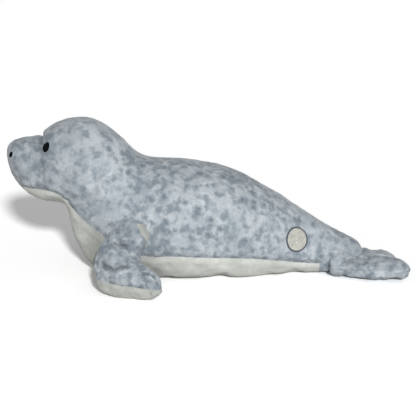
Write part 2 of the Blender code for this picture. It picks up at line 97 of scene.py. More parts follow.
def joinedCopy(name, nodeNames):
    # one mesh from one or more solids of the frame
    bm = bmesh.new()
    for nodeName in nodeNames:
        bm.from_mesh(frame["nodes"][nodeName].data)
    bmesh.ops.remove_doubles(bm, verts=bm.verts[:], dist=0.02 * mm)
    mesh = bpy.data.meshes.new(name)
    bm.to_mesh(mesh)
    bm.free()
    obj = bpy.data.objects.new(name, mesh)
    scene.collection.objects.link(obj)
    return obj


def voxelRemesh(obj, size):
    remesh = obj.modifiers.new("voxels", "REMESH")
    remesh.mode = "VOXEL"
    remesh.voxel_size = size * mm
    applyModifier(obj, "voxels")


def smoothPoints(obj, rounds):
    # in each round every point goes half way to the middle of its neighbours
    edges = np.array([e.vertices[:] for e in obj.data.edges])
    co = pointsOf(obj)
    count = np.bincount(edges.ravel(), minlength=len(co))[:, None]
    for _ in range(rounds):
        total = np.zeros_like(co)
        np.add.at(total, edges[:, 0], co[edges[:, 1]])
        np.add.at(total, edges[:, 1], co[edges[:, 0]])
        co = co + 0.5 * (total / count - co)
    setPoints(obj, co)


def nearLine(co, line):
    # distance from every point to a chain of straight pieces
    best = np.full(len(co), 1e9)
    for a, b in zip(line[:-1], line[1:]):
        step = b - a
        share = np.clip(((co - a) @ step) / max(step @ step, 1e-12), 0, 1)
        best = np.minimum(best, np.linalg.norm(co - a - share[:, None] * step, axis=1))
    return best


fabric = {
    "mass": 0.25,        # as the solver counts it, for one point
    "bending": 6.0,      # stiff enough that the cover swells smoothly
    "frames": 20,
    "onFloor": 0.6,      # mm, below which a point rests on the floor and stays
}


def inflate(obj, job, seams):
    # the cover starts a little small, is pinned along its seams and is blown out by the filling
    start = pointsOf(obj) - job["shrink"] * mm * normalsOf(obj)
    setPoints(obj, start)
    pins = obj.vertex_groups.new(name="seams")
    away = np.min([nearLine(start, line) for line in seams], axis=0)
    held = away < job["voxel"] * mm
    resting = start[:, 2] < fabric["onFloor"] * mm
    pins.add(np.flatnonzero(held | resting).tolist(), 1.0, "REPLACE")
    cloth = obj.modifiers.new("filling", "CLOTH")
    cloth.settings.quality = 4
    cloth.settings.mass = fabric["mass"]
    cloth.settings.use_pressure = True
    cloth.settings.shrink_min = -job["give"]
    cloth.settings.uniform_pressure_force = job["pressure"]
    cloth.settings.effector_weights.gravity = 0
    cloth.settings.vertex_group_mass = "seams"
    cloth.settings.bending_stiffness = fabric["bending"]
    cloth.collision_settings.use_collision = False
    cloth.point_cache.frame_end = fabric["frames"]
    for number in range(1, fabric["frames"] + 1):
        scene.frame_set(number)
    applyModifier(obj, "filling")
    scene.frame_set(1)
    moved = pointsOf(obj) - start
    length = np.linalg.norm(moved, axis=1, keepdims=True)
    print("filled", obj.name, "furthest point moved", round(float(length.max()) / mm, 2), "mm")
    setPoints(obj, start + moved * np.minimum(1.0, job["cap"] * mm / np.maximum(length, 1e-9)))


def refine(obj, levels=1):
    subdivide = obj.modifiers.new("finer", "SUBSURF")
    subdivide.levels = subdivide.render_levels = levels
    applyModifier(obj, "finer")


crease = {
    "lipAt": 2.2,        # in widths of the crease, as are the next two
    "lipWidth": 0.9,
    "paintedShadeWidth": 1.1,
    "paintedShadeDepth": 4.0,    # mm, the depth from which a crease's painted shade is as dark as it gets
}


def press(obj, lines, width, depth, lip=0.0, runOut=0.0):
    # a crease or seam: a narrow valley with a soft swelling on each side, all in millimetres. It runs out to
    # nothing over the last runOut millimetres at both ends.
    co, normals = pointsOf(obj), normalsOf(obj)
    away = np.min([nearLine(co, line) for line in lines], axis=0) / (width * mm)
    move = -depth * np.exp(-away ** 2) + lip * np.exp(-((away - crease["lipAt"]) / crease["lipWidth"]) ** 2)
    # painted shade in the crease, darkest along its middle
    paintedFoldShade = np.clip(depth / crease["paintedShadeDepth"], 0, 1) * np.exp(-(away / crease["paintedShadeWidth"]) ** 2)
    if runOut:
        ends = [np.linalg.norm(co - end, axis=1) for line in lines for end in (line[0], line[-1])]
        share = np.clip(np.min(ends, axis=0) / (runOut * mm), 0, 1)
        move, paintedFoldShade = move * share, paintedFoldShade * share
    # how deep each point lies in a fold, for the plush, which is painted darker there: painted shade
    layer = obj.data.attributes.get("paintedFoldShade") or obj.data.attributes.new("paintedFoldShade", "FLOAT", "POINT")
    before = np.zeros(len(co))
    layer.data.foreach_get("value", before)
    layer.data.foreach_set("value", np.maximum(before, paintedFoldShade))
    setPoints(obj, co + (move * mm)[:, None] * normals)


def dent(obj, spots):
    # broad soft dents and swellings: (x, y, z, radius, height) in millimetres
    co, normals = pointsOf(obj), normalsOf(obj)
    for x, y, z, radius, height in spots:
        away = np.linalg.norm(co - np.array((x, y, z)) * mm, axis=1) / (radius * mm)
        co = co + (height * mm * np.exp(-away ** 2))[:, None] * normals
    setPoints(obj, co)


def lump(obj, heights, seed):
    # uneven filling and clumps of pile: (wavelength, height) in millimetres. The seed takes the noise from a
    # place of its own, so that no two forms are lumpy alike.
    co, normals = pointsOf(obj), normalsOf(obj)
    move = np.zeros(len(co))
    shift = Vector((seed * 3.7, seed * 1.3, seed * 2.1))
    for wavelength, height in heights:
        move += height * np.array([noise.noise(Vector(p) / (wavelength * mm) + shift) for p in co])
    setPoints(obj, co + (move * mm)[:, None] * normals)


def layOnFloor(obj):
    co = pointsOf(obj)
    co[:, 2] = np.maximum(co[:, 2], 0.0)
    setPoints(obj, co)


def mirroredLine(line):
    return line * np.array((1.0, -1.0, 1.0))


def hoop(tree, x, z, fromDeg, toDeg):
    # round the form at one length, from one side over the top to the other
    found = []
    for degrees in np.linspace(fromDeg, toDeg, 40):
        a = math.radians(degrees)
        hit = tree.ray_cast(Vector((x, 0, z)), Vector((0, math.cos(a), math.sin(a))))[0]
        if hit:
            found.append(hit)
    return np.array(found)


# the photograph's camera, which also gives the rays that place creases on the cover
camera = {"elevation": 15.0, "distance": 1.6, "pixels": 416, "mmPerPixel": 1.14, "aimX": 0.0003, "aimZ": 0.0728}


def cameraPlace():
    tilt = math.radians(camera["elevation"])
    back, rise = camera["distance"] * math.cos(tilt), camera["distance"] * math.sin(tilt)
    return tilt, Vector((camera["aimX"], -back, camera["aimZ"] + rise))


def makeCamera():
    tilt, place = cameraPlace()
    data = bpy.data.cameras.new("camera")
    data.lens = data.sensor_width * camera["distance"] / (camera["pixels"] * camera["mmPerPixel"] * mm)
    data.clip_end = 50
    obj = bpy.data.objects.new("camera", data)
    obj.location = place
    obj.rotation_euler = (math.radians(90) - tilt, 0, 0)
    scene.collection.objects.link(obj)
    scene.camera = obj


def pixelRay(px, py):
    # from the camera through one pixel of the photograph's frame
    tilt, eye = cameraPlace()
    right, up = Vector((1, 0, 0)), Vector((0, math.sin(tilt), math.cos(tilt)))
    ahead = Vector((0, math.cos(tilt), -math.sin(tilt)))
    scale, centre = camera["mmPerPixel"] * mm, camera["pixels"] / 2
    way = ahead * camera["distance"] + right * (px - centre) * scale + up * (centre - py) * scale
    return eye, way.normalized()


def seenLine(tree, pixels):
    # a line drawn in the photograph's frame, laid on the form; points that miss it are dropped
    found = []
    for px, py in pixels:
        eye, way = pixelRay(px, py)
        hit = tree.ray_cast(eye, way)[0]
        if hit:
            found.append(hit)
    return np.array(found)


def sideLine(tree, places, side):
    # (x, z) in metres, met from the left (-1) or the right (+1)
    found = []
    for x, z in places:
        hit = tree.ray_cast(Vector((x, side * rayStart["beside"], z)), Vector((0, -side, 0)))[0]
        if hit:
            found.append(hit)
    return np.array(found)


def fade(value, start, length):
    # 0 up to start, rising to 1 over the length that follows; a negative length runs the other way
    return np.clip((value - start) / length, 0, 1)


def linear(hexColour):
    # an sRGB colour as the linear values that a shader wants
    values = [int(hexColour[i:i + 2], 16) / 255 for i in (0, 2, 4)]
    return [v / 12.92 if v <= 0.04045 else ((v + 0.055) / 1.055) ** 2.4 for v in values] + [1.0]


def newMaterial(name):
    material = bpy.data.materials.new(name)
    material.use_nodes = True
    material.node_tree.nodes.clear()
    return material


def addNode(material, kind, settings=None, inputs=None):
    node = material.node_tree.nodes.new(kind)
    for key, value in (settings or {}).items():
        setattr(node, key, value)
    for key, value in (inputs or {}).items():
        if isinstance(value, bpy.types.NodeSocket):
            material.node_tree.links.new(value, node.inputs[key])
        else:
            node.inputs[key].default_value = value
    return node


def ramp(material, factor, stops):
    node = addNode(material, "ShaderNodeValToRGB", None, {"Fac": factor})
    node.color_ramp.elements.remove(node.color_ramp.elements[1])
    for i, (place, colour) in enumerate(stops):
        element = node.color_ramp.elements[0] if i == 0 else node.color_ramp.elements.new(place)
        element.position = place
        element.color = colour
    return node.outputs["Color"]


def grey(value):
    return (value, value, value, 1.0)


def blendColour(material, factor, first, second, mode="MIX"):
    node = addNode(material, "ShaderNodeMix", {"data_type": "RGBA", "blend_type": mode})
    for index, value in ((0, factor), (6, first), (7, second)):
        if isinstance(value, bpy.types.NodeSocket):
            material.node_tree.links.new(value, node.inputs[index])
        else:
            node.inputs[index].default_value = value
    return node.outputs[2]


def calc(material, operation, first, second=0.0, clamp=False):
    node = addNode(material, "ShaderNodeMath", {"operation": operation, "use_clamp": clamp}, {0: first, 1: second})
    return node.outputs[0]


def product(material, *values):
    result = values[0]
    for value in values[1:]:
        result = calc(material, "MULTIPLY", result, value)
    return result


def opposite(material, value):
    return calc(material, "SUBTRACT", 1.0, value)


def darken(material, colour, area, drop):
    # the colour times 1 - drop where the area is 1, and unchanged where it is 0
    return blendColour(material, 1.0, colour, opposite(material, product(material, area, drop)), "MULTIPLY")


def noiseAt(material, vector, wavelength, detail=2.0, roughness=0.5, output="Fac"):
    # wavelength in millimetres
    node = addNode(
        material, "ShaderNodeTexNoise", None,
        {"Vector": vector, "Scale": 1 / (wavelength * mm), "Detail": detail, "Roughness": roughness},
    )
    return node.outputs[output]


def objectPlace(material):
    return addNode(material, "ShaderNodeTexCoord").outputs["Object"]


# short plush pile, about 3 mm long: fine fibre ends in clumps of 2 to 3 mm. One fibre is far too fine to show, so
# the finest grain is drawn at 0.9 mm. All in millimetres, apart from the stretch along the way the pile lies.
pile = {"clump": 3.2, "clumpHeight": 0.9, "fibre": 0.9, "fibreHeight": 0.35, "stretch": (0.55, 0.9, 1.25)}


def pileBump(material, where):
    clumps = noiseAt(material, where, pile["clump"], 3.0, 0.6)
    stretched = addNode(
        material, "ShaderNodeMapping", {"vector_type": "POINT"}, {"Vector": where, "Scale": pile["stretch"]}
    ).outputs["Vector"]
    fibres = noiseAt(material, stretched, pile["fibre"], 2.0, 0.6)
    coarse = addNode(
        material, "ShaderNodeBump", None,
        {"Strength": 0.55, "Distance": pile["clumpHeight"] * mm, "Height": clumps},
    )
    fine = addNode(
        material, "ShaderNodeBump", None,
        {"Strength": 0.45, "Distance": pile["fibreHeight"] * mm, "Height": fibres,
         "Normal": coarse.outputs["Normal"]},
    )
    return fine.outputs["Normal"], clumps


def plushShader(material, colour, normal, sheen):
    # pile scatters light: no gloss at all, and a faint bright rim from the fibre tips
    shader = addNode(
        material, "ShaderNodeBsdfPrincipled", None,
        {"Base Color": colour, "Normal": normal, "Roughness": 0.95, "IOR": 1.45, "Specular IOR Level": 0.12,
         "Sheen Weight": sheen, "Sheen Roughness": 0.5},
    )
    addNode(material, "ShaderNodeOutputMaterial", None, {"Surface": shader.outputs["BSDF"]})


def smoothStep(material, value, low, high):
    # 0 below low and 1 above high, both in millimetres
    node = addNode(
        material, "ShaderNodeMapRange", {"interpolation_type": "SMOOTHSTEP"},
        {"Value": value, "From Min": low * mm, "From Max": high * mm},
    )
    return node.outputs["Result"]


# where the plush changes, in millimetres: it starts to at the first value and has done so at the second
areaEdges = {
    # along x, from the nose to the tail
    "behindFace": (-160, -95), "behindArm": (-46, -38), "behindRoot": (138, 152), "rearHalf": (156, 172),
    "behindChin": (-150, -120), "behindChest": (-72, -30), "behindNeck": (-90, -40),
    # out from the middle on both sides, where the front flippers leave the body
    "beside": (66, 78),
    # up from the floor
    "overEdge": (6, 11), "pastEdge": (14, 20), "upperBack": (85, 130),
}


def plushAreas(material, where):
    # 0 to 1 for each area where the plush differs from the flank's
    parts = addNode(material, "ShaderNodeSeparateXYZ", None, {"Vector": where}).outputs
    out = calc(material, "ABSOLUTE", parts["Y"])

    def past(value, name):
        return smoothStep(material, value, *areaEdges[name])

    def before(value, name):
        return opposite(material, past(value, name))

    x, z = parts["X"], parts["Z"]
    return {
        "head": before(x, "behindFace"),
        "frontFlipper": product(material, past(out, "beside"), before(x, "behindArm")),
        "rearFlipper": past(x, "behindRoot"),
        # a pale stretch along the rear flippers
        "rearEdge": product(material, past(x, "rearHalf"), past(z, "overEdge"), before(z, "pastEdge")),
        "chest": product(material, before(out, "beside"), past(x, "behindChin"), before(x, "behindChest")),
        "back": product(material, past(z, "upperBack"), past(x, "behindNeck")),
    }


mottle = {
    "light": "C3CACF", "ground": "ABB4BB", "dark": "687581",
    "cloud": 24.0,       # mm, the broad pale and grey areas under the spots
    "density": 42.0,     # mm from a crowded area to a thin one
    "cluster": 9.0,      # mm, the grain of the soft blotches
    "blotch": ((0.45, 0.0), (0.66, 0.74)),   # (noise, strength) where a blotch starts and where it is full
    "wander": 8.0,       # mm, the grain of the drift that keeps the spots from being round
    "drift": 5.5,        # mm, how far it goes
    "ragged": 2.6,       # mm, the grain of the spots' edges
    # spots of two sizes, 7 to 10 and 5 to 7 mm across: (mm between them, share of places that hold one, strength)
    "spots": ((12.5, 0.54, 0.92), (8.5, 0.32, 0.8)),
    # a spot's middle and its edge, and how ragged that is, in shares of the distance between spots
    "core": 0.26, "rim": 0.6, "raggedBy": 0.2,
    "onset": 4.0,        # how fast a spot appears once its place is crowded enough
    # what a crowded area adds, to the blotches and to the share of places that hold a spot
    "spread": 0.55, "moreBlotches": 0.7, "moreSpots": 2.5,
    # the head has fewer and fainter spots
    "strength": 0.86, "fewerOnHead": 0.28, "fainterOnHead": 0.1,
    # more or fewer spots, and how much darker the plush is, by area and in folds; on the upper back and in folds the
    # darkening is painted shade
    "crowded": {"back": 0.05, "frontFlipper": 0.06, "rearFlipper": 0.05, "rearEdge": -0.12},
    "toneAndPaintedShade": {"head": 0.16, "frontFlipper": 0.08, "rearFlipper": 0.07, "rearEdge": -0.14, "back": 0.02},
    "paintedShadeInFolds": 0.5,
    "sheen": 0.22,
}


def mottledPlush():
    # polyester plush, printed with soft blue-grey spots on pale grey: matte, with blurred edges where the
    # print has run down the pile
    material = newMaterial("mottledPlush")
    where = objectPlace(material)
    normal, clumps = pileBump(material, where)
    areas = plushAreas(material, where)
    offset = addNode(
        material, "ShaderNodeVectorMath", {"operation": "SUBTRACT"},
        {0: noiseAt(material, where, mottle["wander"], 1.5, output="Color"), 1: (0.5, 0.5, 0.5)},
    ).outputs[0]
    drift = addNode(
        material, "ShaderNodeVectorMath", {"operation": "SCALE"}, {0: offset, "Scale": mottle["drift"] * mm}
    ).outputs[0]
    warped = addNode(material, "ShaderNodeVectorMath", {"operation": "ADD"}, {0: where, 1: drift}).outputs[0]
    ragged = product(material, noiseAt(material, where, mottle["ragged"], 1.0), mottle["raggedBy"])
    clouds = noiseAt(material, where, mottle["cloud"], 4.0, 0.6)
    colour = ramp(material, clouds, ((0.38, linear(mottle["ground"])), (0.62, linear(mottle["light"]))))
    # how crowded the spots are: from about -0.1 to 0.1, and more or less by area
    crowd = calc(material, "SUBTRACT", noiseAt(material, where, mottle["density"]), 0.5)
    crowd = product(material, crowd, mottle["spread"])
    for place, more in mottle["crowded"].items():
        crowd = calc(material, "ADD", crowd, product(material, areas[place], more))
    # soft blotches, then the spots over them
    run = noiseAt(material, warped, mottle["cluster"], 1.5)
    run = calc(material, "ADD", run, product(material, crowd, mottle["moreBlotches"]))
    spots = ramp(material, run, [(place, grey(strength)) for place, strength in mottle["blotch"]])
    for size, many, strength in mottle["spots"]:
        cells = addNode(
            material, "ShaderNodeTexVoronoi", {"feature": "SMOOTH_F1"},
            {"Vector": warped, "Scale": 1 / (size * mm), "Smoothness": 0.2, "Randomness": 0.95},
        )
        rough = calc(material, "ADD", cells.outputs["Distance"], ragged)
        blob = ramp(material, rough, ((mottle["core"], grey(strength)), (mottle["rim"], grey(0))))
        # each cell has a number of its own, and holds a spot where that is lower than the share
        number = addNode(material, "ShaderNodeSeparateColor", None, {"Color": cells.outputs["Color"]}).outputs[0]
        share = calc(material, "SUBTRACT", many, product(material, areas["head"], mottle["fewerOnHead"]))
        share = calc(material, "ADD", product(material, crowd, mottle["moreSpots"]), share)
        there = calc(material, "MULTIPLY", calc(material, "SUBTRACT", share, number), mottle["onset"], True)
        spots = calc(material, "MAXIMUM", spots, product(material, blob, there))
    fainter = product(material, areas["head"], mottle["fainterOnHead"])
    strength = calc(material, "SUBTRACT", mottle["strength"], fainter)
    covered = calc(material, "MULTIPLY", spots, strength, True)
    colour = blendColour(material, covered, colour, linear(mottle["dark"]))
    shade = ramp(material, clumps, ((0.3, grey(0.86)), (0.7, grey(1.07))))
    colour = blendColour(material, 1.0, colour, shade, "MULTIPLY")
    # darker or paler by area; on the upper back this is painted shade
    for place, drop in mottle["toneAndPaintedShade"].items():
        colour = darken(material, colour, areas[place], drop)
    # painted shade in the folds of creases and seams
    paintedFoldShade = addNode(material, "ShaderNodeAttribute", {"attribute_name": "paintedFoldShade"}).outputs["Fac"]
    plushShader(material, darken(material, colour, paintedFoldShade, mottle["paintedShadeInFolds"]), normal, mottle["sheen"])
    return material


undyed = {
    "dark": "C0C3BC", "light": "D9DBD5",
    "cloud": 22.0,       # mm, the grain of the brushed shading
    # painted shade: the soles are darker for the floor's shade, and their pile is flattened; the chin and the chest
    # are darker for the shade under the head and by the flippers
    "toneAndPaintedShade": {"frontFlipper": 0.26, "head": 0.14, "chest": 0.35},
    "sheen": 0.18,
}


def creamPlush():
    # the same pile, undyed polyester, matte: a warm grey white with faint shading where it is brushed, and painted
    # shade on the soles, the chin and the chest
    material = newMaterial("creamPlush")
    where = objectPlace(material)
    normal, clumps = pileBump(material, where)
    clouds = noiseAt(material, where, undyed["cloud"], 3.0, 0.55)
    colour = ramp(material, clouds, ((0.32, linear(undyed["dark"])), (0.66, linear(undyed["light"]))))
    shade = ramp(material, clumps, ((0.3, grey(0.92)), (0.7, grey(1.04))))
    colour = blendColour(material, 1.0, colour, shade, "MULTIPLY")
    areas = plushAreas(material, where)
    # painted shade on the soles, the chin and the chest
    for place, drop in undyed["toneAndPaintedShade"].items():
        colour = darken(material, colour, areas[place], drop)
    plushShader(material, colour, normal, undyed["sheen"])
    return material


# (colour, sheen, roughness, gloss): the eyes' and nostrils' thread is nearly matt
threads = {"blackThread": ("020304", 0.0, 0.85, 0.08), "slateThread": ("4E575F", 0.1, 0.7, 0.3)}
# millimetres, as are the weave's lengths below
ply = {"width": 0.5, "relief": 0.1}


def threadMaterial(name):
    # polyester embroidery thread: a low silky shine along each stitch
    hexColour, sheen, roughness, gloss = threads[name]
    material = newMaterial(name)
    strands = noiseAt(material, objectPlace(material), ply["width"], 1.0)
    bump = addNode(
        material, "ShaderNodeBump", None, {"Strength": 0.25, "Distance": ply["relief"] * mm, "Height": strands}
    )
    shade = ramp(material, strands, ((0.3, grey(0.85)), (0.7, grey(1.1))))
    colour = blendColour(material, 1.0, linear(hexColour), shade, "MULTIPLY")
    shader = addNode(
        material, "ShaderNodeBsdfPrincipled", None,
        {"Base Color": colour, "Normal": bump.outputs["Normal"], "Roughness": roughness, "IOR": 1.5,
         "Specular IOR Level": gloss, "Sheen Weight": sheen},
    )
    addNode(material, "ShaderNodeOutputMaterial", None, {"Surface": shader.outputs["BSDF"]})
    return material


weave = {"dark": "A9AAA2", "light": "CDCCC4", "thread": 0.9, "relief": 0.2, "slub": 2.5}


def wovenCloth():
    # plain-weave cotton, threads 0.7 mm apart, drawn at 0.9 mm so that they show
    material = newMaterial("wovenCotton")
    where = objectPlace(material)
    parts = addNode(material, "ShaderNodeSeparateXYZ", None, {"Vector": where}).outputs
    turns = 2 * math.pi / (weave["thread"] * mm)
    warp, weft = [calc(material, "SINE", product(material, parts[axis], turns)) for axis in ("X", "Z")]
    relief = calc(material, "MULTIPLY_ADD", product(material, warp, weft), 0.5)
    bump = addNode(
        material, "ShaderNodeBump", None, {"Strength": 0.5, "Distance": weave["relief"] * mm, "Height": relief}
    )
    slub = noiseAt(material, where, weave["slub"])
    colour = ramp(material, slub, ((0.3, linear(weave["dark"])), (0.7, linear(weave["light"]))))
    shader = addNode(
        material, "ShaderNodeBsdfPrincipled", None,
        {"Base Color": colour, "Normal": bump.outputs["Normal"], "Roughness": 0.9, "Specular IOR Level": 0.2},
    )
    addNode(material, "ShaderNodeOutputMaterial", None, {"Surface": shader.outputs["BSDF"]})
    return material


# one stuffed form, then cut along its seam into the cover and the belly panel
body = {
    "voxel": 4.5, "smoothing": 3,
    # mm that it starts too small, the pressure of the filling, the give of the cloth, and the furthest move in mm
    "shrink": 0.6, "pressure": 8.0, "give": 0.012, "cap": 2.0,
    "fill": 0.7,
    # (width, depth, lip) in millimetres of the belly panel's seam, the seam along the back, and the face seam's
    # way over the head
    "panelSeam": (3.0, 1.6, 0.5), "backSeam": (1.6, 0.7, 0.2), "crownSeam": (3.4, 1.8, 0.7),
    "backSeamX": (-0.224, 0.17),           # m, from the nose to the tail
    "crownAt": (-0.187, 0.130, 35, 145),   # m along and up, then degrees round
    # (wavelength, height) in millimetres: the filling, its lumps and the clumps of pile
    "lumps": ((60, 1.6), (24, 0.9), (5.5, 0.45)), "seed": 1,
}


def bellySeam():
    # the panel's upper edge as (x, z) at even steps: the highest point of its solid in each stretch. The
    # stretches overlap, so that each one holds a ring of the solid's points.
    co = pointsOf(frame["nodes"]["belly_panel"])
    tops = []
    for x in np.arange(co[:, 0].min(), co[:, 0].max(), 6 * mm):
        near = co[(co[:, 0] >= x) & (co[:, 0] < x + 9 * mm)]
        if len(near):
            tops.append(near[np.argmax(near[:, 2])])
    tops = np.array(sorted({tuple(t) for t in tops}))
    places = np.arange(tops[0, 0], tops[-1, 0], 3 * mm)
    heights = np.interp(places, tops[:, 0], tops[:, 2])
    heights = np.convolve(np.pad(heights, 2, mode="edge"), np.ones(5) / 5, mode="valid")
    return np.column_stack([places, heights])


def sheetCutter(name, rows, thickness):
    # a sheet through rows of points, given thickness along a vector: it cuts a form in two
    across, along = len(rows[0]) - 1, len(rows) - 1
    bpy.ops.object.select_all(action="DESELECT")
    bpy.ops.mesh.primitive_grid_add(x_subdivisions=across, y_subdivisions=along, size=1)
    cutter = bpy.context.object
    cutter.name = name
    for vertex in cutter.data.vertices:
        i, j = round((vertex.co.y + 0.5) * along), round((vertex.co.x + 0.5) * across)
        vertex.co = rows[i][j]
    bpy.ops.object.mode_set(mode="EDIT")
    bpy.ops.mesh.select_all(action="SELECT")
    bpy.ops.mesh.extrude_region_move(TRANSFORM_OT_translate={"value": thickness})
    bpy.ops.mesh.select_all(action="SELECT")
    bpy.ops.mesh.normals_make_consistent(inside=False)
    bpy.ops.object.mode_set(mode="OBJECT")
    return cutter


def splitBy(form, cutter, outsideName, insideName):
    # the form outside the cutter and the form inside it
    pieces = []
    for name, operation in ((outsideName, "DIFFERENCE"), (insideName, "INTERSECT")):
        piece = form.copy()
        piece.data = form.data.copy()
        piece.name = name
        scene.collection.objects.link(piece)
        cut = piece.modifiers.new("cut", "BOOLEAN")
        cut.operation = operation
        cut.object = cutter
        applyModifier(piece, "cut")
        pieces.append(piece)
    for obj in (form, cutter):
        bpy.data.objects.remove(obj, do_unlink=True)
    return pieces


sharpFrom = 55           # degrees between two faces: only cut edges look sharp


def dress(piece, material, nodeNames):
    # a finished piece gets its material, and says which solids it stands for
    piece.data.materials.clear()
    piece.data.materials.append(material)
    activate(piece)
    bpy.ops.object.shade_smooth_by_angle(angle=math.radians(sharpFrom))
    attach(piece, "root")
    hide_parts(*nodeNames)


# where the filling is fuller or slacker: (x, y, z, radius, height) in millimetres
bodyFullness = ((-35, 0, 125, 62, 3.4), (-98, 0, 142, 30, 3.6), (92, 0, 88, 45, -2.8), (168, -4, 30, 10, 2.6))
# (points in pixels of the photograph's frame, then width, depth and lip in millimetres): the face seam, the mouth
# and the fold of the neck
faceCreases = (
    (((42, 136), (41.5, 145), (41.5, 156), (42.5, 168), (43, 178), (44, 187)), 2.2, 1.5, 0.5),
    (((13, 173), (15.5, 176), (19, 179)), 1.2, 1.2, 0.2),
    (((67, 200.5), (74, 199), (82, 198), (90, 196.5), (97, 192)), 2.6, 1.8, 0.9),
)


def makeBody(mottled, cream):
    form = joinedCopy("bodyForm", ("body", "belly_panel"))
    voxelRemesh(form, body["voxel"])
    smoothPoints(form, body["smoothing"])
    tree = treeOf(form)
    seam = bellySeam()
    sides = [sideLine(tree, seam, side) for side in (-1, 1)]
    faceSeam = seenLine(tree, faceCreases[0][0])
    along = np.linspace(*body["backSeamX"], 60)
    spine = np.array([tree.ray_cast(Vector((x, 0, rayStart["above"])), Vector((0, 0, -1)))[0] for x in along])
    inflate(form, body, [*sides, faceSeam, mirroredLine(faceSeam)])
    print("body filled")
    refine(form)
    tree = treeOf(form)
    dent(form, bodyFullness)
    press(form, sides, *body["panelSeam"])
    press(form, [spine], *body["backSeam"])
    press(form, [hoop(tree, *body["crownAt"])], *body["crownSeam"])
    for pixels, width, depth, lip in faceCreases:
        line = seenLine(tree, pixels)
        press(form, [line, mirroredLine(line)], width, depth, lip)
    lump(form, body["lumps"], body["seed"])
    layOnFloor(form)
    surface = treeOf(form)
    # a sheet wider than the body along the seam, thick enough to reach under the floor
    rows = [[(x, -0.12, z), (x, 0.12, z)] for x, z in seam]
    cutter = sheetCutter("seamCutter", rows, (0, 0, -0.2))
    cover, panel = splitBy(form, cutter, "bodyCover", "bellyPanel")
    dress(cover, mottled, ["body"])
    dress(panel, cream, ["belly_panel"])
    print("body cut along its seam", len(cover.data.polygons), len(panel.data.polygons))
    return surface


# named as the body's are; the cloth gives more
frontFlipper = {
    "voxel": 3.0, "smoothing": 2,
    "shrink": 0.8, "pressure": 8.0, "give": 0.06, "cap": 3.2,
    "fill": 0.6,
    "rimSeam": (2.0, 1.0, 0.3),
    "runOut": 4.0,       # mm over which a crease ends
    "lumps": ((24, 1.3), (11, 0.7), (4.5, 0.4)), "seed": 5,
    # the shoulder is pushed this far into the body, in mm, rising from a place along y over a length in m
    "tuck": 2.0, "tuckFrom": -0.075, "tuckOver": 0.012,
}
# where the sheet between upper and sole runs, in metres
soleEdge = {
    # past both ends of the seam, and how steeply it climbs into the body
    "inward": (0.03, 0.0025), "climb": 0.6, "outward": 0.03,
    "rearmost": -0.068,  # the rear edge counts no further forward than this
    # the upper wraps this far round the front and the rear edge, from a height above the floor
    "wrap": -0.007, "wrapBehind": -0.012, "wrapFrom": 0.016, "wrapOver": 0.010,
    # the sole comes this far forward at the arm's rear edge, between two places along y: (start, length of fade)
    "show": 0.02, "showFrom": (-0.081, 0.010), "showTo": (-0.056, -0.006),
    "slant": 0.72,       # a move along the sheet, shared between y and z
    "depth": 0.09,
    # it starts ahead of the flipper and ends behind it. Between them its moves change at these places, counted
    # back from the front edge and forward from the rear one, and keep clear of the flipper's middle.
    "from": -0.17, "to": 0.0,
    "ahead": ((0.004, -0.004), (0.014, -0.001)),
    "behind": ((-0.014, 0.001), (-0.009, 0.004), (0.0, 0.006)),
    "partShown": 0.85,
}


def soleSeam():
    # where the sole meets the upper, from the shoulder down to the hand: (y, z) of the left flipper's solid, as
    # the highest point of the sole near each place along y
    co = pointsOf(frame["nodes"]["front_flipper_sole_left"])
    rows = []
    for y in np.linspace(co[:, 1].max() - 2 * mm, co[:, 1].min() + 1.5 * mm, 18):
        rows.append((y, co[np.abs(co[:, 1] - y) < 3 * mm, 2].max()))
    rows = np.array(rows)
    rows[:, 1] = np.convolve(np.pad(rows[:, 1], 1, mode="edge"), np.ones(3) / 3, mode="valid")
    return rows


# as the face's: the flipper's folds from the elbow down, and one under the shoulder
flipperCreases = (
    (((117, 241), (120, 244.5), (124, 245.5), (129, 248)), 1.7, 4.6, 0.9),
    (((100, 265), (109, 268.5), (113, 270), (120, 267.5), (127, 267), (132, 264)), 2.0, 3.8, 0.6),
    (((140, 273.5), (147, 274), (153, 275.5), (157, 280)), 1.6, 3.4, 0.7),
    (((131, 257), (137, 258), (141, 262)), 1.9, 2.8, 0.6),
    (((119, 221), (115, 225), (112, 229.5)), 1.8, 2.4, 0.8),
)


def flipperCutter(seam, edges, sign):
    # the sheet between upper and sole. Above the hand the upper wraps round both edges, apart from one place
    # at the arm's rear edge, where the sole comes forward and shows as an oval.
    front, back = edges
    rows = []
    root = [(seam[0][0] + inward, seam[0][1] + soleEdge["climb"] * inward) for inward in soleEdge["inward"]]
    for y, z in [*root, *seam, (seam[-1][0] - soleEdge["outward"], seam[-1][1])]:
        ahead = np.interp(z, front[:, 1], front[:, 0])
        behind = max(np.interp(z, back[:, 1], back[:, 0]), soleEdge["rearmost"])
        high = float(fade(z, soleEdge["wrapFrom"], soleEdge["wrapOver"]))
        wrap, wrapBehind = soleEdge["wrap"] * high, soleEdge["wrapBehind"] * high
        share = float(fade(y, *soleEdge["showFrom"]) * fade(y, *soleEdge["showTo"]))
        show = wrapBehind + (soleEdge["show"] - wrapBehind) * share
        middle = (ahead + behind) / 2
        places = [min(ahead + off, middle + least) for off, least in soleEdge["ahead"]]
        places += [max(behind + off, middle + least) for off, least in soleEdge["behind"]]
        # how far the sheet is moved off the seam at each place
        moves = (wrap, wrap, 0.0, 0.0, soleEdge["partShown"] * show, show, show)
        slant, line = soleEdge["slant"], zip((soleEdge["from"], *places, soleEdge["to"]), moves)
        rows.append([(x, sign * (y - slant * move), z + slant * move) for x, move in line])
    return sheetCutter("soleCutter", rows, (0, sign * soleEdge["depth"], -soleEdge["depth"]))


# as the body's: the shoulder is fuller than its solid
armFullness = ((-66, -68, 60, 15, 6.5), (-66, -78, 48, 9, 2.0))


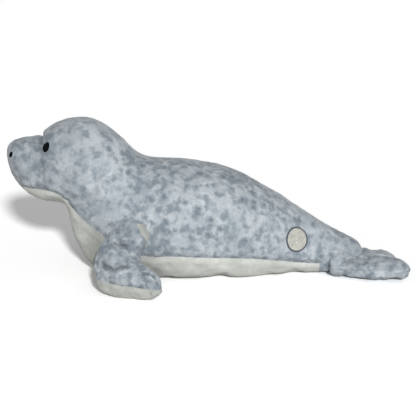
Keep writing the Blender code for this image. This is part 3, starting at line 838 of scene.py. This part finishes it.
def makeFrontFlippers(mottled, cream):
    seam = soleSeam()
    creases = []
    for side, sign in (("left", 1.0), ("right", -1.0)):
        upperNode, soleNode = f"front_flipper_{side}", f"front_flipper_sole_{side}"
        form = joinedCopy("flipperForm", (upperNode, soleNode))
        voxelRemesh(form, frontFlipper["voxel"])
        smoothPoints(form, frontFlipper["smoothing"])
        dent(form, [(x, sign * y, z, radius, height) for x, y, z, radius, height in armFullness])
        tree = treeOf(form)
        rim = []
        for way in (1, -1):
            start = -way * rayStart["beside"]
            found = [tree.ray_cast(Vector((start, sign * y, z)), Vector((way, 0, 0)))[0] for y, z in seam]
            rim.append(np.array([p for p in found if p]))
        edges = [np.array(sorted((p[2], p[0]) for p in line))[:, ::-1] for line in rim]
        inflate(form, frontFlipper, rim)
        refine(form, 2)
        if side == "left":
            # the photograph shows this one; the other's creases mirror it
            tree = treeOf(form)
            creases = [(seenLine(tree, pixels), *look) for pixels, *look in flipperCreases]
        press(form, rim, *frontFlipper["rimSeam"])
        for line, width, depth, lip in creases:
            placed = line if side == "left" else mirroredLine(line)
            press(form, [placed], width, depth, lip, frontFlipper["runOut"])
        lump(form, frontFlipper["lumps"], frontFlipper["seed"])
        push = pointsOf(form)
        near = fade(sign * push[:, 1], frontFlipper["tuckFrom"], frontFlipper["tuckOver"])
        push[:, 1] += sign * frontFlipper["tuck"] * mm * near
        setPoints(form, push)
        layOnFloor(form)
        cutter = flipperCutter(seam, edges, sign)
        upper, sole = splitBy(form, cutter, f"frontFlipperUpper_{side}", f"frontFlipperSole_{side}")
        dress(upper, mottled, [upperNode])
        dress(sole, cream, [soleNode])
    print("front flippers done")


rearFlipper = {
    "voxel": 3.0, "smoothing": 2,
    "shrink": 0.8, "pressure": 8.0, "give": 0.06, "cap": 2.8,
    "fill": 0.6,
    "rimSeam": (1.8, 0.9, 0.3),
    "rimHeight": 11,     # mm off the floor
    "lumps": ((22, 1.5), (10, 0.8), (4.5, 0.4)), "seed": {"left": 9, "right": 12},
}
# the left one's root stands up in a fold, with a hollow behind it
rearFullness = ((139, -37, 16, 11, 5.0), (161, -34, 24, 7, -2.8))
# as the face's: the root's fold, one below it, the long one between the flippers, one at the tip and one above
rearCreases = (
    (((345, 254), (347.5, 257), (348, 262), (344, 264)), 2.4, 2.6, 1.0),
    (((351, 273), (355, 271.5), (362, 273)), 2.0, 1.2, 0.5),
    (((362, 270), (372, 268.5), (384, 268.5), (396, 268)), 3.0, 1.2, 0.9),
    (((398, 259), (402, 263), (403, 267)), 1.6, 1.0, 0.7),
    (((367, 258), (371, 261), (369, 264)), 1.6, 0.9, 0.4),
)


def makeRearFlippers(mottled):
    for side in ("left", "right"):
        node = f"rear_flipper_{side}"
        form = joinedCopy(f"rearFlipper_{side}", (node,))
        voxelRemesh(form, rearFlipper["voxel"])
        smoothPoints(form, rearFlipper["smoothing"])
        tree = treeOf(form)
        along = pointsOf(form)[:, 0]
        rim = []
        for way in (1, -1):
            found = []
            for x in np.linspace(along.min() + 8 * mm, along.max() - 2 * mm, 24):
                start = Vector((x, -way * rayStart["rearFlipper"], rearFlipper["rimHeight"] * mm))
                hit = tree.ray_cast(start, Vector((0, way, 0)))[0]
                if hit:
                    found.append(hit)
            rim.append(np.array(found))
        inflate(form, rearFlipper, rim)
        refine(form)
        tree = treeOf(form)
        press(form, rim, *rearFlipper["rimSeam"])
        if side == "left":
            dent(form, rearFullness)
            for pixels, width, depth, lip in rearCreases:
                press(form, [seenLine(tree, pixels)], width, depth, lip)
        lump(form, rearFlipper["lumps"], rearFlipper["seed"][side])
        layOnFloor(form)
        dress(form, mottled, [node])
    print("rear flippers done")


def spun(name, profile, steps):
    # a round piece turned from a profile of (radius, height) in millimetres
    bpy.ops.object.select_all(action="DESELECT")
    bpy.ops.mesh.primitive_plane_add(size=1)
    obj = bpy.context.object
    obj.name = name
    bm = bmesh.new()
    line = [bm.verts.new((radius * mm, 0, height * mm)) for radius, height in profile]
    for a, b in zip(line[:-1], line[1:]):
        bm.edges.new((a, b))
    bm.to_mesh(obj.data)
    bm.free()
    bpy.ops.object.mode_set(mode="EDIT")
    bpy.ops.mesh.select_all(action="SELECT")
    bpy.ops.mesh.spin(steps=steps, angle=2 * math.pi, center=(0, 0, 0), axis=(0, 0, 1), use_auto_merge=True)
    bpy.ops.mesh.select_all(action="SELECT")
    bpy.ops.mesh.remove_doubles(threshold=0.01 * mm)
    bpy.ops.mesh.select_all(action="SELECT")
    bpy.ops.mesh.normals_make_consistent(inside=False)
    bpy.ops.object.mode_set(mode="OBJECT")
    return obj


# in millimetres: how far round its place the cover's slope is felt, how far out the rays start, and how deep the
# stitches pull a piece in
sewing = {"feel": 4, "out": 25, "sink": 0.5}


def sewOn(obj, node, surface, stretch=1.0, tiltDeg=0.0, shift=(0.0, 0.0)):
    # lays a flat round piece on the cover where its solid is: its own z is the height above the cloth
    low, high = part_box(node)
    centre = (low + high) / 2
    side = -1 if centre.y < 0 else 1
    centre.x += shift[0] * mm
    centre.z += shift[1] * mm
    start = Vector((centre.x, side * rayStart["beside"], centre.z))
    point = surface.ray_cast(start, Vector((0, -side, 0)))[0]
    slopes = []
    for step in ((1, 0, 0), (-1, 0, 0), (0, 0, 1), (0, 0, -1)):
        slopes.append(surface.find_nearest(point + Vector(step) * sewing["feel"] * mm)[1])
    out = sum(slopes, Vector()).normalized()
    back = (Vector((1, 0, 0)) - out * out.x).normalized()
    up = out.cross(back)
    up = up if up.z > 0 else -up
    tilt = math.radians(tiltDeg)
    placed = []
    for u, v, height in pointsOf(obj):
        v *= stretch
        across = u * math.cos(tilt) + v * math.sin(tilt)
        upward = v * math.cos(tilt) - u * math.sin(tilt)
        start = point + back * across + up * upward + out * sewing["out"] * mm
        hit = surface.ray_cast(start, -out)[0]
        placed.append(hit + out * (height - sewing["sink"] * mm))
    setPoints(obj, np.array(placed))
    if side > 0:
        # the right side's pieces come out mirrored, with their faces inwards
        activate(obj)
        bpy.ops.object.mode_set(mode="EDIT")
        bpy.ops.mesh.select_all(action="SELECT")
        bpy.ops.mesh.normals_make_consistent(inside=False)
        bpy.ops.object.mode_set(mode="OBJECT")


# a padded dome of stitches: (share of the radius, height in mm)
dome = ((0.0, 0.0), (0.99, 0.0), (1.0, 0.5), (0.93, 0.95), (0.75, 1.25), (0.45, 1.42), (0.0, 1.5))
domeSteps = 40
# (radius in mm, height for its width, tilt in degrees, shift along and up in mm)
face = {"eye": (4.5, 1.35, 12.0, (0.8, 1.1)), "nostril": (2.6, 1.35, 32.0, (0.0, -0.6))}


def makeFace(surface, black):
    for kind, (radius, stretch, tiltDeg, shift) in face.items():
        profile = [(radius * share, height) for share, height in dome]
        for side in ("left", "right"):
            node = f"{kind}_{side}"
            obj = spun(f"{kind}Stitches_{side}", profile, domeSteps)
            sewOn(obj, node, surface, stretch, tiltDeg, shift)
            dress(obj, black, [node])
    print("eyes and nostrils sewn")


patch = {
    "radius": 12.6,      # mm
    # the cloth's profile: (share of the radius, height in mm)
    "profile": ((0.0, 0.0), (1.0, 0.0), (1.0, 1.2), (0.8, 1.3), (0.5, 1.35), (0.25, 1.35), (0.0, 1.35)),
    # the border's cord in mm: its own radius, how far it laps over the cloth, and its middle's height
    "cord": 0.95, "lap": 0.3, "cordHeight": 0.9,
    "stitches": 46, "bulge": 0.13,
    # faces round the cloth, and round the border for each stitch
    "steps": 72, "stitchSteps": 6,
}


def makePatch(surface, cotton, border):
    radius, cord, high = patch["radius"], patch["cord"], patch["cordHeight"]
    profile = [(share * radius, height) for share, height in patch["profile"]]
    cloth = spun("patchCloth", profile, patch["steps"])
    sewOn(cloth, "patch", surface)
    dress(cloth, cotton, ["patch"])
    inner = radius - patch["lap"]
    turns = np.linspace(0, 2 * math.pi, 11)
    section = [(inner + cord * (1 + math.cos(a)), high + cord * math.sin(a)) for a in turns]
    edge = spun("patchBorder", section, patch["stitches"] * patch["stitchSteps"])
    # each overlocked stitch bulges a little
    co = pointsOf(edge)
    bulge = 1 + patch["bulge"] * np.cos(patch["stitches"] * np.arctan2(co[:, 1], co[:, 0]))
    middle = (inner + cord) * mm
    reach = np.linalg.norm(co[:, :2], axis=1)
    co[:, :2] *= ((middle + (reach - middle) * bulge) / reach)[:, None]
    co[:, 2] = high * mm + (co[:, 2] - high * mm) * bulge
    setPoints(edge, co)
    sewOn(edge, "patch_border", surface)
    dress(edge, border, ["patch_border"])
    print("patch sewn on")


floorLook = {
    "size": 16, "drop": 0.0002,
    # white to the camera; the light that it sends back to the seal is that of paper
    "toCamera": 1.66, "glow": 0.02, "toLight": 0.8,
}
lights = {
    "fill": 0.245,       # the white studio all round
    # a sun's strength, then degrees: how wide it looks, how far right of the camera, and how high
    "key": 2.65, "keySpread": 4.5, "keyAzimuth": 9.0, "keyElevation": 24.3, "keyPlace": (0.4, -1.8, 1.1),
}


def makeStage():
    # a matte white paper floor, and a white studio all round that lights the seal softly
    bpy.ops.object.select_all(action="DESELECT")
    bpy.ops.mesh.primitive_plane_add(size=floorLook["size"], location=(0, 0, -floorLook["drop"]))
    floor = bpy.context.object
    floor.name = "floor"
    material = newMaterial("whitePaperSweep")
    rays = addNode(material, "ShaderNodeLightPath")
    seen = calc(
        material, "MAXIMUM", rays.outputs["Is Camera Ray"],
        calc(material, "MAXIMUM", rays.outputs["Is Glossy Ray"], rays.outputs["Is Transmission Ray"]),
    )
    tone = blendColour(material, seen, grey(floorLook["toLight"]), grey(floorLook["toCamera"]))
    paper = addNode(material, "ShaderNodeBsdfDiffuse", None, {"Color": tone})
    glow = addNode(
        material, "ShaderNodeEmission", None,
        {"Color": grey(1.0), "Strength": calc(material, "MULTIPLY", seen, floorLook["glow"])},
    )
    both = addNode(material, "ShaderNodeAddShader", None, {0: paper.outputs[0], 1: glow.outputs[0]})
    addNode(material, "ShaderNodeOutputMaterial", None, {"Surface": both.outputs[0]})
    floor.data.materials.append(material)
    world = bpy.data.worlds.new("studio")
    scene.world = world
    world.use_nodes = True
    world.node_tree.nodes.clear()
    rays = addNode(world, "ShaderNodeLightPath")
    seen = calc(world, "MAXIMUM", rays.outputs["Is Camera Ray"], rays.outputs["Is Glossy Ray"])
    soft = addNode(world, "ShaderNodeBackground", None, {"Color": grey(1.0), "Strength": lights["fill"]})
    white = addNode(world, "ShaderNodeBackground", None, {"Color": grey(1.0), "Strength": 1.0})
    mix = addNode(world, "ShaderNodeMixShader", None, {0: seen, 1: soft.outputs[0], 2: white.outputs[0]})
    addNode(world, "ShaderNodeOutputWorld", None, {"Surface": mix.outputs[0]})


def makeLights():
    # a large softbox by the camera, a little to its right: its edge of shadow is about 5 degrees soft
    bpy.ops.object.light_add(type="SUN", location=lights["keyPlace"])
    key = bpy.context.object
    key.name = "key"
    key.data.energy = lights["key"]
    key.data.angle = math.radians(lights["keySpread"])
    a, e = math.radians(lights["keyAzimuth"]), math.radians(lights["keyElevation"])
    way = Vector((math.sin(a) * math.cos(e), -math.cos(a) * math.cos(e), math.sin(e)))
    key.rotation_euler = way.to_track_quat("Z", "Y").to_euler()


makeCamera()
makeLights()
makeStage()
scene.view_settings.view_transform = "Standard"
print("camera, lights and floor ready")

mottled, cream = mottledPlush(), creamPlush()
surface = makeBody(mottled, cream)
makeFrontFlippers(mottled, cream)
makeRearFlippers(mottled)
makeFace(surface, threadMaterial("blackThread"))
makePatch(surface, wovenCloth(), threadMaterial("slateThread"))
